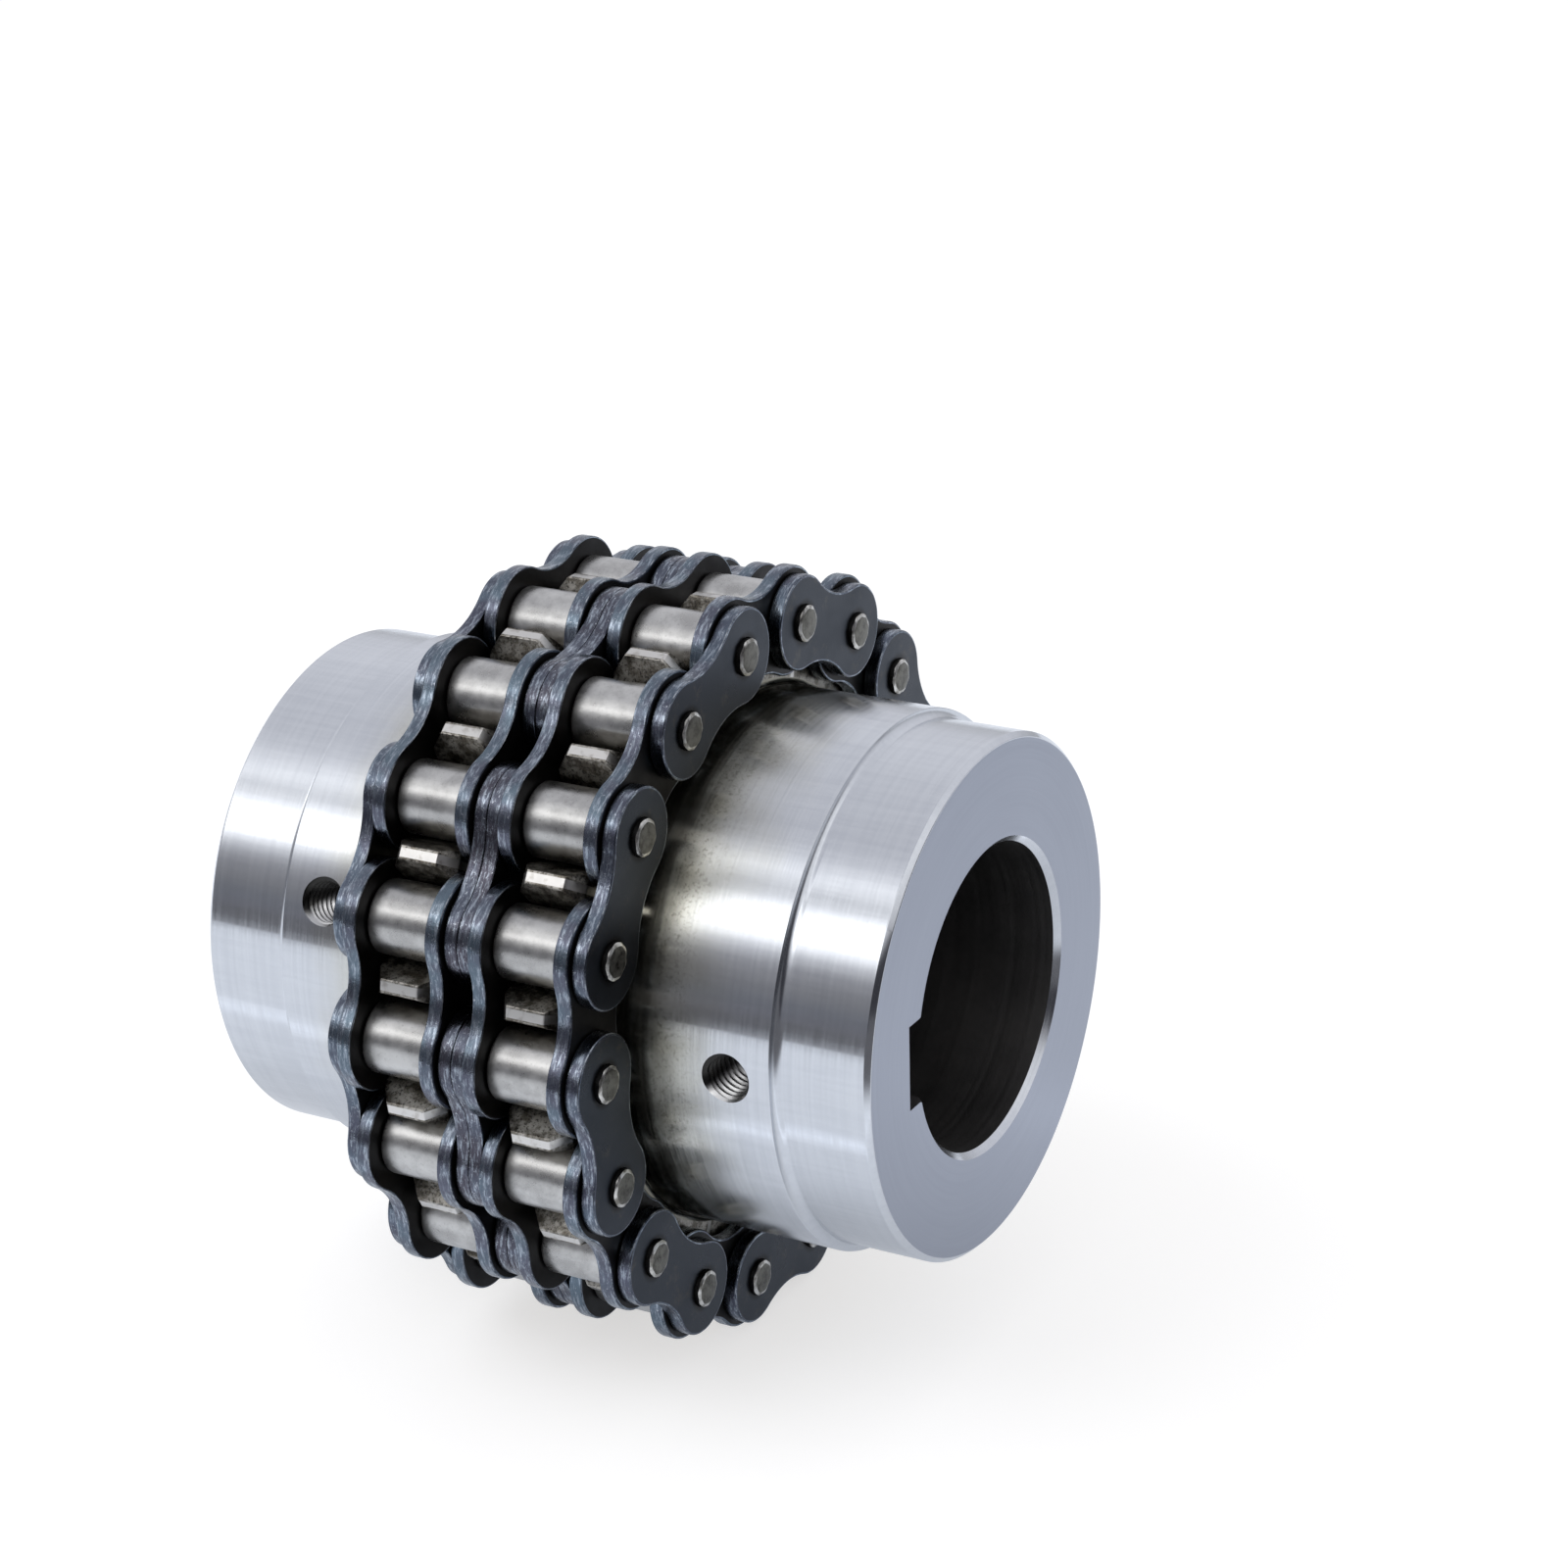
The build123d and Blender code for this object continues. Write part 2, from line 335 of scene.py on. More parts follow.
class Web:
    """Helper that adds linked nodes to a node tree."""

    def __init__(self, tree):
        self.tree = tree

    def give(self, socket, value):
        """Link a value to a socket, or set it there; a colour is three numbers."""
        if isinstance(value, bpy.types.NodeSocket):
            self.tree.links.new(value, socket)
        else:
            socket.default_value = (*value, 1.0) if socket.type == "RGBA" else value

    def add(self, kind, inputs=None, **settings):
        """A node with its settings, its constants and its links."""
        node = self.tree.nodes.new(kind)
        for key, value in settings.items():
            setattr(node, key, value)
        for key, value in (inputs or {}).items():
            self.give(node.inputs[key], value)
        return node

    def spread(self, value, low, high, to_low=0.0, to_high=1.0, shape="SMOOTHSTEP"):
        """A value moved from one range to another and held inside it."""
        inputs = {"Value": value, "From Min": low, "From Max": high, "To Min": to_low, "To Max": to_high}
        return self.add("ShaderNodeMapRange", inputs, interpolation_type=shape).outputs["Result"]

    def maths(self, operation, first, second=0.0):
        """One sum."""
        return self.add("ShaderNodeMath", {0: first, 1: second}, operation=operation).outputs[0]

    def times(self, first, second):
        """A product."""
        return self.maths("MULTIPLY", first, second)

    def length(self, first, second):
        """Length of the long side of a right-angled triangle."""
        squares = [self.maths("POWER", side, 2.0) for side in (first, second)]
        return self.maths("SQRT", self.maths("ADD", *squares))

    def axes(self, vector):
        """The three numbers of a vector, as X, Y and Z."""
        return self.add("ShaderNodeSeparateXYZ", {0: vector}).outputs

    def point(self, x, y=0.0, z=0.0):
        """A vector from its three numbers."""
        return self.add("ShaderNodeCombineXYZ", {0: x, 1: y, 2: z}).outputs[0]

    def vectors(self, operation, *inputs):
        """One sum of vectors, with a vector as its result."""
        return self.add("ShaderNodeVectorMath", dict(enumerate(inputs)), operation=operation).outputs[0]

    def dot(self, first, second):
        """How far one vector reaches along another."""
        inputs = {0: first, 1: second}
        return self.add("ShaderNodeVectorMath", inputs, operation="DOT_PRODUCT").outputs["Value"]

    def mirrored_ray(self, path):
        """1 for a ray that a mirror or glass sent on."""
        return self.maths("MAXIMUM", path.outputs["Is Glossy Ray"], path.outputs["Is Transmission Ray"])

    def blend(self, share, first, second):
        """A blend of two shaders."""
        return self.add("ShaderNodeMixShader", {0: share, 1: first, 2: second}).outputs[0]

    def both(self, first, second):
        """Two shaders added together."""
        return self.add("ShaderNodeAddShader", {0: first, 1: second}).outputs[0]

    def plain_light(self, colour, strength=1.0):
        """Background shader of one colour."""
        return self.add("ShaderNodeBackground", {0: colour, 1: strength}).outputs[0]

    def wall(self, height, tones):
        """Background shader with the tones of a wall."""
        ramp = self.add("ShaderNodeValToRGB", {"Fac": self.spread(height, -1.0, 1.0, shape="LINEAR")})
        stops = ramp.color_ramp.elements
        while len(stops) < len(tones):
            stops.new(0.5)
        for stop, (sine, colour) in zip(stops, tones):
            stop.position = (sine + 1) / 2
            stop.color = (*colour, 1.0)
        return self.add("ShaderNodeBackground", {"Color": ramp.outputs["Color"]}).outputs[0]


class Finish(Web):
    """One procedural material, made node by node."""

    def __init__(self, name, roughness, metallic=1.0):
        self.material = bpy.data.materials.new(name)
        self.material.use_nodes = True
        super().__init__(self.material.node_tree)
        self.shader = self.tree.nodes["Principled BSDF"]
        self.use("Metallic", metallic)
        self.use("Roughness", roughness)
        self.place = self.add("ShaderNodeTexCoord").outputs["Object"]

    def noise(self, scale, detail=3.0, place=None, rough=0.55):
        """Noise from 0 to 1, with scale as the number of lumps in a metre."""
        inputs = {"Vector": place or self.place, "Scale": scale, "Detail": detail, "Roughness": rough}
        return self.add("ShaderNodeTexNoise", inputs).outputs["Fac"]

    def mix(self, share, first, second):
        """A blend of two colours."""
        node = self.add("ShaderNodeMix", {"Factor": share}, data_type="RGBA")
        for socket, colour in zip([s for s in node.inputs if s.type == "RGBA"], (first, second)):
            self.give(socket, colour)
        return [s for s in node.outputs if s.type == "RGBA"][0]

    def use(self, socket, value):
        """Link or set one of the shader's own sockets."""
        self.give(self.shader.inputs[socket], value)

    def paint(self, share, first, second):
        """Give the surface a blend of two colours."""
        self.use("Base Color", self.mix(share, first, second))

    def gloss(self, noise, low, high):
        """Let the roughness wander with a noise."""
        self.use("Roughness", self.spread(noise, 0.3, 0.7, low, high))

    def bump(self, height, depth, strength=1.0, normal=None):
        """Fine relief, with depth in metres, on the surface or on a normal of its own."""
        inputs = {"Height": height, "Distance": depth, "Strength": strength}
        if normal is not None:
            inputs["Normal"] = normal
        self.use("Normal", self.add("ShaderNodeBump", inputs).outputs["Normal"])

    def flare(self, x):
        """Normal of a barrel that widens a little towards its teeth."""
        lean = self.spread(self.maths("ABSOLUTE", x), *FLARE)
        push = self.point(self.times(lean, self.maths("SIGN", x)))
        normal = self.add("ShaderNodeNewGeometry").outputs["Normal"]
        return self.vectors("NORMALIZE", self.vectors("ADD", normal, push))

    def feed(self):
        """A coordinate that runs along a turned surface: x along a barrel, the radius across a face."""
        x, y, z = self.axes(self.place)
        along = self.maths("ADD", self.length(y, z), x)
        wander = 0.012
        return self.point(along, self.times(y, wander), self.times(z, wander))

    def drawn(self, stretch):
        """A coordinate whose noise is drawn out along the shaft, or squeezed where stretch is over 1."""
        x, y, z = self.axes(self.place)
        return self.point(self.times(x, stretch), y, z)

    def pin_distance(self):
        """Distance from the line of the nearest pin, in metres, from the angle round the axis."""
        x, y, z = self.axes(self.place)
        radius = self.length(y, z)
        turn = self.maths("SUBTRACT", self.maths("ARCTAN2", z, y), FIRST_PIN_ANGLE)
        share = self.maths("DIVIDE", turn, PIN_STEP)
        lead = self.times(self.maths("SUBTRACT", share, self.maths("ROUND", share)), PIN_STEP)
        outward = self.times(radius, self.maths("COSINE", lead))
        sideways = self.times(radius, self.maths("SINE", lead))
        return self.length(self.maths("SUBTRACT", outward, PITCH_RADIUS * MM), sideways)


def turned_steel():
    """Bright turned steel: fine rings that blur mirrored things along the axis, and a burnt tint."""
    steel = Finish("turned_steel", 0.2)
    line = steel.feed()
    x = steel.axes(steel.place)["X"]
    rings = steel.noise(2600, 4, line)
    haze = steel.times(steel.noise(45, 3), 0.4)
    fine = steel.maths("ADD", steel.noise(1100, 5, line, 0.7), steel.noise(800, 5, steel.drawn(0.05), 0.7))
    lines = steel.times(steel.spread(fine, 0.75, 1.25), 0.6)
    base = steel.mix(steel.maths("ADD", lines, haze), (0.54, 0.56, 0.595), (0.625, 0.645, 0.675))
    ragged = steel.times(steel.noise(90, 4), 0.014)
    reach = steel.maths("SUBTRACT", steel.maths("ABSOLUTE", x), ragged)
    burnt = steel.spread(reach, 0.014, 0.035, 0.9, 0.0)
    tinted = steel.mix(burnt, base, (0.50, 0.48, 0.385))
    sooty = steel.mix(steel.spread(reach, 0.011, 0.0225, 0.85, 0.0), tinted, (0.16, 0.15, 0.12))
    spots = steel.spread(steel.noise(1500, 5, rough=0.75), 0.52, 0.62, 0.0, 0.8)
    spotted = steel.times(spots, steel.spread(reach, 0.015, 0.028, 1.0, 0.0))
    steel.paint(spotted, sooty, (0.19, 0.175, 0.14))
    steel.gloss(rings, 0.16, 0.23)
    steel.use("Anisotropic", 0.75)
    steel.use("Anisotropic Rotation", 0.25)
    steel.use("Tangent", steel.add("ShaderNodeTangent", direction_type="RADIAL", axis="X").outputs[0])
    steel.bump(rings, 0.0000035, 0.35, steel.flare(x))
    return steel.material


def faced_steel():
    """Finely faced steel of the end face."""
    steel = Finish("faced_steel", 0.36)
    rings = steel.noise(3000, 3, steel.feed())
    steel.paint(steel.noise(35, 3), (0.315, 0.337, 0.395), (0.345, 0.367, 0.425))
    steel.gloss(rings, 0.35, 0.40)
    steel.bump(rings, 0.000002, 0.25)
    return steel.material


def bored_steel():
    """Dark wall of the bore and keyway, with boring rings."""
    steel = Finish("bored_steel", 0.5)
    rings = steel.noise(1600, 3, steel.feed())
    steel.paint(steel.noise(160, 4), (0.07, 0.068, 0.07), (0.15, 0.143, 0.138))
    steel.gloss(rings, 0.47, 0.56)
    steel.bump(rings, 0.000005, 0.3)
    return steel.material


def tooth_steel():
    """Hardened teeth: mottled grey steel with dark scale in its pits."""
    steel = Finish("tooth_steel", 0.38)
    blotch = steel.noise(420, 6, rough=0.7)
    speck = steel.noise(2000, 5, rough=0.72)
    base = steel.mix(steel.spread(blotch, 0.4, 0.6), (0.15, 0.135, 0.11), (0.46, 0.44, 0.40))
    steel.paint(steel.spread(speck, 0.5, 0.62, 0.0, 0.85), base, (0.05, 0.045, 0.04))
    steel.gloss(blotch, 0.26, 0.48)
    steel.bump(steel.maths("ADD", blotch, speck), 0.00005, 0.7)
    return steel.material


def tooth_land_steel():
    """Bright turned top of a tooth."""
    steel = Finish("tooth_land_steel", 0.3)
    blotch = steel.noise(700, 4)
    steel.paint(steel.spread(blotch, 0.3, 0.5), (0.46, 0.44, 0.41), (0.62, 0.605, 0.58))
    steel.gloss(blotch, 0.28, 0.36)
    steel.bump(blotch, 0.000005, 0.3)
    return steel.material


def plate_face():
    """Blue-black outer faces of the link plates, with painted shade and some oily dirt round the pins."""
    steel = Finish("plate_face", 0.34)
    cloud = steel.noise(120, 4)
    grain = steel.noise(2200, 3)
    base = steel.mix(cloud, (0.023, 0.028, 0.037), (0.042, 0.049, 0.061))
    smudge = steel.spread(steel.noise(210, 6, rough=0.75), 0.54, 0.72, 0.0, 0.6)
    smudged = steel.mix(smudge, base, (0.085, 0.078, 0.068))
    start, end = ((PIN_RADIUS + width) * MM for width in (PIN_SHADE_START, PIN_SHADE_END))
    # painted shade: a near-black ring round each pin stands in for the pin's shadow on the plate
    painted_shade = steel.spread(steel.pin_distance(), start, end, 0.9, 0.0)
    steel.paint(painted_shade, smudged, (0.006, 0.006, 0.007))
    steel.gloss(cloud, 0.26, 0.42)
    steel.bump(grain, 0.000014, 0.4)
    return steel.material


def shaded_plate_face():
    """Nearly black plate faces between the rollers: painted shade on oily steel."""
    steel = Finish("shaded_plate_face", 0.45)
    cloud = steel.noise(160, 4)
    steel.paint(cloud, (0.010, 0.010, 0.011), (0.024, 0.022, 0.021))
    steel.gloss(cloud, 0.35, 0.55)
    return steel.material


def plate_rim(name, dark, light, sparkle, relief):
    """Sheared rims of the link plates: blued steel with streaks along the rim and bright specks."""
    steel = Finish(name, 0.3)
    streak = steel.noise(420, 5, steel.drawn(5.0), 0.7)
    cloud = steel.noise(150, 4)
    scuff = steel.noise(1900, 3, rough=0.7)
    blued = steel.mix(steel.spread(cloud, 0.38, 0.62), dark, light)
    lifted = steel.mix(steel.spread(streak, 0.47, 0.68, 0.0, 0.85), blued, (0.36, 0.405, 0.46))
    speck = steel.spread(scuff, 0.66 - sparkle, 0.78 - sparkle, 0.0, 0.8)
    steel.paint(speck, lifted, (0.52, 0.55, 0.60))
    steel.use("Roughness", steel.spread(streak, 0.35, 0.65, 0.30, 0.15))
    steel.bump(steel.maths("ADD", streak, scuff), relief, 0.7)
    return steel.material


def worn_plate_edge():
    """Thin bright line where the edge of a plate's rim is rubbed bare."""
    steel = Finish("worn_plate_edge", 0.28)
    cloud = steel.noise(500, 5, rough=0.7)
    steel.paint(steel.spread(cloud, 0.42, 0.66), (0.065, 0.075, 0.095), (0.32, 0.345, 0.38))
    steel.bump(cloud, 0.00002, 0.4)
    return steel.material


def roller_steel():
    """Satin grey rollers with fine pits."""
    steel = Finish("roller_steel", 0.36)
    cloud = steel.noise(240, 5, rough=0.65)
    pits = steel.noise(2100, 5, rough=0.75)
    base = steel.mix(steel.spread(cloud, 0.35, 0.65), (0.38, 0.375, 0.365), (0.53, 0.525, 0.51))
    steel.paint(steel.spread(pits, 0.57, 0.72, 0.0, 0.6), base, (0.17, 0.16, 0.15))
    steel.gloss(cloud, 0.26, 0.34)
    steel.bump(pits, 0.00003, 0.45)
    return steel.material


def pin_steel():
    """Dark bronze-grey ends of the pins."""
    steel = Finish("pin_steel", 0.36)
    cloud = steel.noise(700, 5, rough=0.65)
    steel.paint(steel.spread(cloud, 0.35, 0.65), (0.065, 0.062, 0.052), (0.17, 0.165, 0.145))
    steel.gloss(cloud, 0.26, 0.45)
    steel.bump(cloud, 0.00006, 0.7)
    return steel.material


def worn_pin_edge():
    """Bright worn edge where a pin's end is riveted over."""
    steel = Finish("worn_pin_edge", 0.3)
    cloud = steel.noise(600, 4)
    steel.paint(steel.spread(cloud, 0.35, 0.6), (0.20, 0.19, 0.17), (0.62, 0.61, 0.58))
    steel.bump(cloud, 0.00003, 0.5)
    return steel.material


def thread_steel(name, mouth):
    """Cut thread of a set screw hole: painted shade in its upper half and bright steel low down."""
    steel = Finish(name, 0.25)
    cloud = steel.noise(800, 3)
    bright = steel.mix(cloud, (0.44, 0.435, 0.43), (0.60, 0.60, 0.60))
    height = steel.dot(steel.vectors("SUBTRACT", steel.place, mouth), SHADED_SIDE)
    # painted shade: the upper side of the hole is darkened where shade falls inside it
    painted_shade = steel.spread(steel.maths("ADD", height, steel.times(cloud, 0.001)), -0.0018, 0.0004)
    steel.paint(painted_shade, bright, (0.035, 0.034, 0.032))
    steel.gloss(cloud, 0.22, 0.36)
    return steel.material


def plain_steel(name, dark, light, roughness):
    """Simple machined steel for the bushes and the clip, and near-black painted shade on the sides of the
    pins.
    """
    steel = Finish(name, roughness)
    cloud = steel.noise(400, 4)
    steel.paint(cloud, dark, light)
    steel.gloss(cloud, roughness - 0.06, roughness + 0.08)
    steel.bump(steel.noise(2500, 3), 0.000012, 0.4)
    return steel.material


TURNED = turned_steel()
FACED = faced_steel()
BORED = bored_steel()
TOOTH = tooth_steel()
TOOTH_LAND = tooth_land_steel()
PLATE_FACE = plate_face()
# painted shade: near-black faces stand in for the shade between the plates and rollers
PLATE_SHADED = shaded_plate_face()
INNER_RIM = plate_rim("inner_plate_rim", (0.10, 0.106, 0.138), (0.115, 0.15, 0.185), 0.04, 0.00004)
OUTER_RIM = plate_rim("outer_plate_rim", (0.085, 0.09, 0.12), (0.10, 0.125, 0.16), 0.05, 0.00004)
MIDDLE_RIM = plate_rim("middle_plate_rim", (0.075, 0.072, 0.09), (0.09, 0.10, 0.13), 0.06, 0.00004)
PLATE_WORN = worn_plate_edge()
ROLLER = roller_steel()
PIN = pin_steel()
PIN_WORN = worn_pin_edge()
# painted shade: the near-black sides of the pin ends stand in for their shadow beside them
PIN_SHADED_SIDE = plain_steel("pin_shaded_side", (0.02, 0.02, 0.021), (0.05, 0.048, 0.046), 0.4)
BUSH = plain_steel("bush_steel", (0.30, 0.29, 0.27), (0.42, 0.41, 0.39), 0.35)
CLIP = plain_steel("clip_steel", (0.10, 0.11, 0.13), (0.20, 0.21, 0.23), 0.3)


def half_outline(plate, inset):
    """Half of a plate's outline, from the middle of one waist round a lobe to the other waist."""
    reach = PITCH / 2
    lobe = plate["height"] / 2
    half_waist = lobe - plate["waist_depth"]
    waist_radius = (reach**2 + half_waist**2 - lobe**2) / (2 * plate["waist_depth"])
    waist_centre = half_waist + waist_radius
    lean = atan2(reach, waist_centre)
    waist_turns = between(pi, pi - lean, WAIST_STEPS)
    lobe_turns = between(-lean, pi + lean, LOBE_STEPS)
    right = [around(waist_radius + inset, turn, (waist_centre, 0.0)) for turn in waist_turns]
    top = [around(lobe - inset, turn, (0.0, reach)) for turn in lobe_turns]
    left = [(-across, along) for across, along in reversed(right)]
    return right + top[1:-1] + left


def plate_section(low, high):
    """Rounded section of a plate's rim as (inset, x), from its outer face to its inner one."""
    smooth_edge = round_corner((PLATE_FACE_REACH, high), (0.0, high), (0.0, low), PLATE_EDGE_SMOOTH)
    sharp_edge = round_corner((0.0, high), (0.0, low), (PLATE_FACE_REACH, low), PLATE_EDGE_SHARP)
    return smooth_edge + sharp_edge


def hole_ring(radius, loop):
    """Points of a plate's hole that face the points of a loop round it."""
    reach = PITCH / 2
    return [around(radius, atan2(along - reach, across), (0.0, reach)) for across, along in loop]


def half_plate(plate, section):
    """Rows of (across, along, x) points of half a plate: its rim, its two faces and its hole."""
    rim = [extended(half_outline(plate, inset), x) for inset, x in section]
    loops = []
    faces = []
    for inset, x in (section[0], section[-1]):
        outline = half_outline(plate, inset)
        cut_line = [(across, 0.0) for across in between(outline[-1][0], outline[0][0], CUT_LINE_STEPS)]
        loops.append(outline + cut_line[1:-1])
        ring = hole_ring(plate["hole"] + PLATE_HOLE_EDGE, loops[-1])
        faces.append([extended(loops[-1], x), extended(ring, x)])
    front, back = faces
    high, low = section[0][1], section[-1][1]
    step = copysign(PLATE_HOLE_EDGE, high - low)
    bore = hole_ring(plate["hole"], loops[0])
    hole = [front[1], extended(bore, high - step), extended(bore, low + step), back[1]]
    return rim, front, back, hole


def on_link(angle, across, along):
    """Point of the link whose middle is at angle, from places across and along it."""
    centre = around(LINK_RADIUS, angle)
    radial = around(1.0, angle)
    return (
        centre[0] + (across * radial[0] - along * radial[1]),
        centre[1] + (across * radial[1] + along * radial[0]),
    )


def rim_finish(line, step):
    """Finish of a plate's rim, which is rubbed bare along both of its edges."""
    return PLATE_EDGE if line in (1, EDGE_STEPS + 2) else PLATE_RIM


def add_plate(form, plate, section, angle):
    """One link plate on the link whose middle is at angle, as two halves."""
    rim, front, back, hole = half_plate(plate, section)

    def placed(rows, flip):
        return [[(x, *on_link(angle, flip * across, flip * up)) for across, up, x in row] for row in rows]

    for flip in (1, -1):
        form.skin(placed(rim, flip), rim_finish, closed=False)
        form.skin(placed(front, flip), PLATE_FRONT)
        form.skin(placed(back, flip), PLATE_BACK)
        form.skin(placed(hole, flip), PLATE_BACK)


def plate_piece(node, plate, first_pin, count, outward, face, rim):
    """A ring of plates in place of a node; outward is the side that the smooth edges face."""
    ends = node_ends(node)
    section = plate_section(*ends if outward > 0 else reversed(ends))
    form = Form()
    for index in range(count):
        add_plate(form, plate, section, pin_angle(first_pin) + PIN_STEP * (0.5 + 2 * index))
    worn = MIDDLE_RIM if rim is MIDDLE_RIM else PLATE_WORN
    make_piece(form, [face, rim, PLATE_SHADED, worn], "chain", node)


def pin_end(end, inward, turn, lumps, first, second):
    """Points of one riveted end at an angle, from its middle out to the pin's side."""
    flat = PIN_RADIUS - PIN_EDGE * (1.0 + PIN_FLAT_RIPPLE * cos(lumps * turn + first))
    depth = PIN_EDGE * (1.0 + PIN_SHOULDER_RIPPLE * cos(lumps * turn + second))
    dome = []
    for share in PIN_DOME_SHARES:
        fall = PIN_DOME * (share * flat / PIN_RADIUS) ** 2
        dome.append((end + inward * fall, share * flat))
    corner = (end + inward * PIN_CORNER, flat)
    shoulder = (end + inward * depth, PIN_RIM_RADIUS)
    side = (end + inward * PIN_SIDE_START * PIN_EDGE, PIN_RADIUS)
    return [*dome, *round_corner(dome[-1], corner, shoulder, PIN_CORNER_ROUNDING, 2), shoulder, side]


def pin_finish(line, last):
    """Finish of a ring of a pin's faces, counted from its nearer end."""
    from_end = min(line, last - line)
    if from_end < len(PIN_DOME_SHARES):
        return PIN_FLAT
    return PIN_RUBBED if from_end < 2 * len(PIN_DOME_SHARES) else PIN_BARREL


def pin_piece(node, indices, groove=(), rise=0.0):
    """The pins of one node, each with two hammered ends: a dark middle, a bright edge and dark sides of
    painted shade.
    """
    left, right = node_ends(node)
    left_end, right_end = left - rise, right + rise
    turns = [2 * pi * step / PIN_SEGMENTS for step in range(PIN_SEGMENTS)]
    form = Form()
    for index in indices:
        centre = around(PITCH_RADIUS, pin_angle(index))
        columns = []
        for turn in turns:
            start = pin_end(left_end, 1, turn, PIN_LUMPS + index % 3, index * 1.9, index * 0.7)
            end = pin_end(right_end, -1, turn, PIN_LUMPS + (index + 1) % 3, index * 2.3, index * 1.1)
            columns.append([*start, *groove, *reversed(end)])
        rows = []
        for ring in zip(*columns):
            rows.append([(x, *around(radius, turn, centre)) for (x, radius), turn in zip(ring, turns)])
        last = len(rows) - 2
        form.skin(rows, lambda line, step: pin_finish(line, last))
        form.cap(rows[0], (left_end, *centre), PIN_FLAT)
        form.cap(rows[-1], (right_end, *centre), PIN_FLAT)
    make_piece(form, [PIN, PIN_WORN, PIN_SHADED_SIDE], "chain", node)


def roller_piece(node, index):
    """One roller with rounded ends, in place of its node."""
    left, right = node_ends(node)
    bore_edge = ROLLER_BORE_RADIUS + ROLLER_BORE_EDGE
    inside = [(right, ROLLER_BORE_RADIUS), (left, ROLLER_BORE_RADIUS)]
    outside = [(left, ROLLER_RADIUS), (right, ROLLER_RADIUS)]
    profile = [
        (left, bore_edge),
        *round_corner(inside[1], *outside, ROLLER_EDGE),
        *round_corner(*outside, inside[0], ROLLER_EDGE),
        (right, bore_edge),
        (right - ROLLER_BORE_EDGE, ROLLER_BORE_RADIUS),
        (left + ROLLER_BORE_EDGE, ROLLER_BORE_RADIUS),
    ]
    form = Form()
    form.revolve(profile, around(PITCH_RADIUS, pin_angle(index)), 0, ROLLER_SEGMENTS)
    make_piece(form, [ROLLER], node, node)


def clip_outline():
    """Outline of the spring clip as (across, along): a fork that is closed at its lower end."""
    reach = PITCH / 2
    slot = CLIP_SLOT / 2
    side = CLIP_WIDTH / 2
    mouth = acos(slot / side)
    bite = acos(slot / CLIP_BITE_RADIUS)
    upper = (0.0, reach)
    lower = (0.0, -reach)
    arcs = (
        (side, upper, mouth, 0.0, 8),
        (side, lower, 0.0, -pi, 24),
        (side, upper, pi, pi - mouth, 8),
        (CLIP_BITE_RADIUS, upper, pi - bite, pi + bite, 10),
        (CLIP_BITE_RADIUS, lower, pi - bite, 2 * pi + bite, 24),
        (CLIP_BITE_RADIUS, upper, -bite, bite, 10),
    )
    points = []
    for radius, centre, start, end, steps in arcs:
        points += [around(radius, turn, centre) for turn in between(start, end, steps)]
    return points


def clip_piece(node):
    """The spring clip, with slightly rounded edges."""
    angle = pin_angle(CONNECTING_PIN) + PIN_STEP / 2
    outline = [on_link(angle, *point) for point in clip_outline()]
    rows = [[(x, *point) for point in outline] for x in node_ends(node)]
    form = Form()
    form.skin(rows, 0)
    for row in rows:
        form.fill(row, 0)
    piece = make_piece(form, [CLIP], "chain", node)
    shell = bmesh.new()
    shell.from_mesh(piece.data)
    border = []
    for edge in shell.edges:
        start, end = edge.verts
        if edge.calc_face_angle(0.0) > CLIP_BORDER_ANGLE and abs(start.co.x - end.co.x) < TINY:
            border.append(edge)
    bmesh.ops.bevel(shell, geom=border, offset=CLIP_BEVEL * MM, segments=2, affect="EDGES", profile=0.5)
    shell.to_mesh(piece.data)
    shell.free()
    shade(piece.data)


def seat_point(radius, turn):
    """Point at a distance from the middle of a roller's seat, turned from the line to the axis."""
    return (PITCH_RADIUS - radius * cos(turn), radius * sin(turn))


FLANK_CENTRE = seat_point(SEAT_RADIUS + FLANK_RADIUS, SEAT_HALF_ANGLE)
FLANK_REACH = hypot(*FLANK_CENTRE)
FLANK_TURN = atan2(FLANK_CENTRE[1], FLANK_CENTRE[0])
SEAT_EDGE = seat_point(SEAT_RADIUS, SEAT_HALF_ANGLE)


def flank_angle(radius):
    """Angle from a gap's middle at which the tooth flank has a radius."""
    across = radius**2 + FLANK_REACH**2 - FLANK_RADIUS**2
    return FLANK_TURN - acos(across / (2 * radius * FLANK_REACH))


def gap_radius(turn):
    """Outer radius of a tooth gap's outline at an angle from the gap's middle."""
    turn = abs(turn)
    if turn < atan2(SEAT_EDGE[1], SEAT_EDGE[0]):
        inside = SEAT_RADIUS**2 - (PITCH_RADIUS * sin(turn)) ** 2
        return PITCH_RADIUS * cos(turn) - sqrt(inside)
    towards = FLANK_REACH * cos(turn - FLANK_TURN)
    radius = towards + sqrt(towards**2 - FLANK_REACH**2 + FLANK_RADIUS**2)
    return min(radius, TIP_RADIUS)


def half_gap():
    """(angle, radius) of the points of half a tooth gap's outline, from its middle outwards."""
    points = [seat_point(SEAT_RADIUS, turn) for turn in between(0.0, SEAT_HALF_ANGLE, SEAT_STEPS)]
    seat_rim = hypot(*points[-1])
    for radius in between(seat_rim, TIP_RADIUS - 2 * TOOTH_EDGE, FLANK_STEPS)[1:]:
        points.append(around(radius, flank_angle(radius)))
    tip_turns = [flank_angle(TIP_RADIUS) + share * TOOTH_EDGE / TIP_RADIUS for share in (0, 2, 2.2)]
    corner, land, beyond = (around(TIP_RADIUS, turn) for turn in tip_turns)
    points += [*round_corner(points[-1], corner, land, TOOTH_EDGE), beyond]
    return [(atan2(across, along), hypot(along, across)) for along, across in points]


